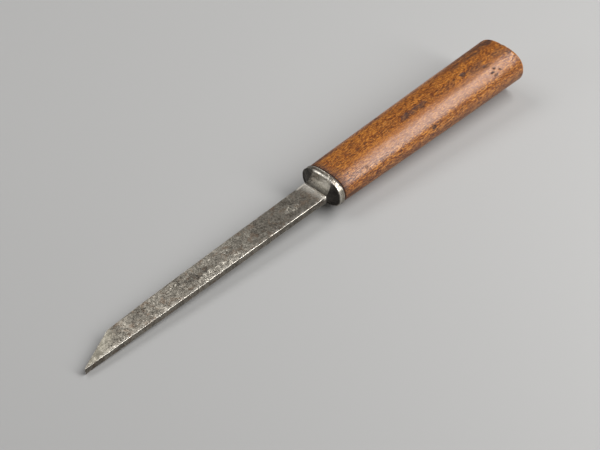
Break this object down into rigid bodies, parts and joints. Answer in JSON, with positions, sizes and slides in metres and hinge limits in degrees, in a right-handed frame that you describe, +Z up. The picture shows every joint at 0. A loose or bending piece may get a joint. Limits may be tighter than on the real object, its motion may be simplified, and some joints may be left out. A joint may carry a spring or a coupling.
{
  "type": "oval-bolstered mortise chisel",
  "caption": "Long narrow mortise chisel with a deep iron blade, single end bevel, oval forged bolster and tapered oval wooden handle, lying on its side.",
  "frame": {"origin": "middle of the footprint of the tool lying on its side, on the surface it lies on", "axes": "+X along the tool on the ground, from the cutting edge to the butt; +Y from the blade's flat back to its spine; +Z up, out of the upper cheek. The tool's own axis is tipped up 2.5 degrees towards the butt."},
  "size_m": [0.3434, 0.0358, 0.0287],
  "materials": {
    "forged_iron": "aged grey-brown patina, lightly pitted",
    "cutting_steel": "worn grey steel with pitting and fine scratches",
    "leather": "compressed dark brown",
    "beech": "old oiled surface with dents and dark flecks"
  },
  "bodies": {
    "root": {"iron_forging": "forged_iron", "laid_steel": "cutting_steel", "leather_washer": "leather", "handle": "beech"}
  },
  "joints": []
}
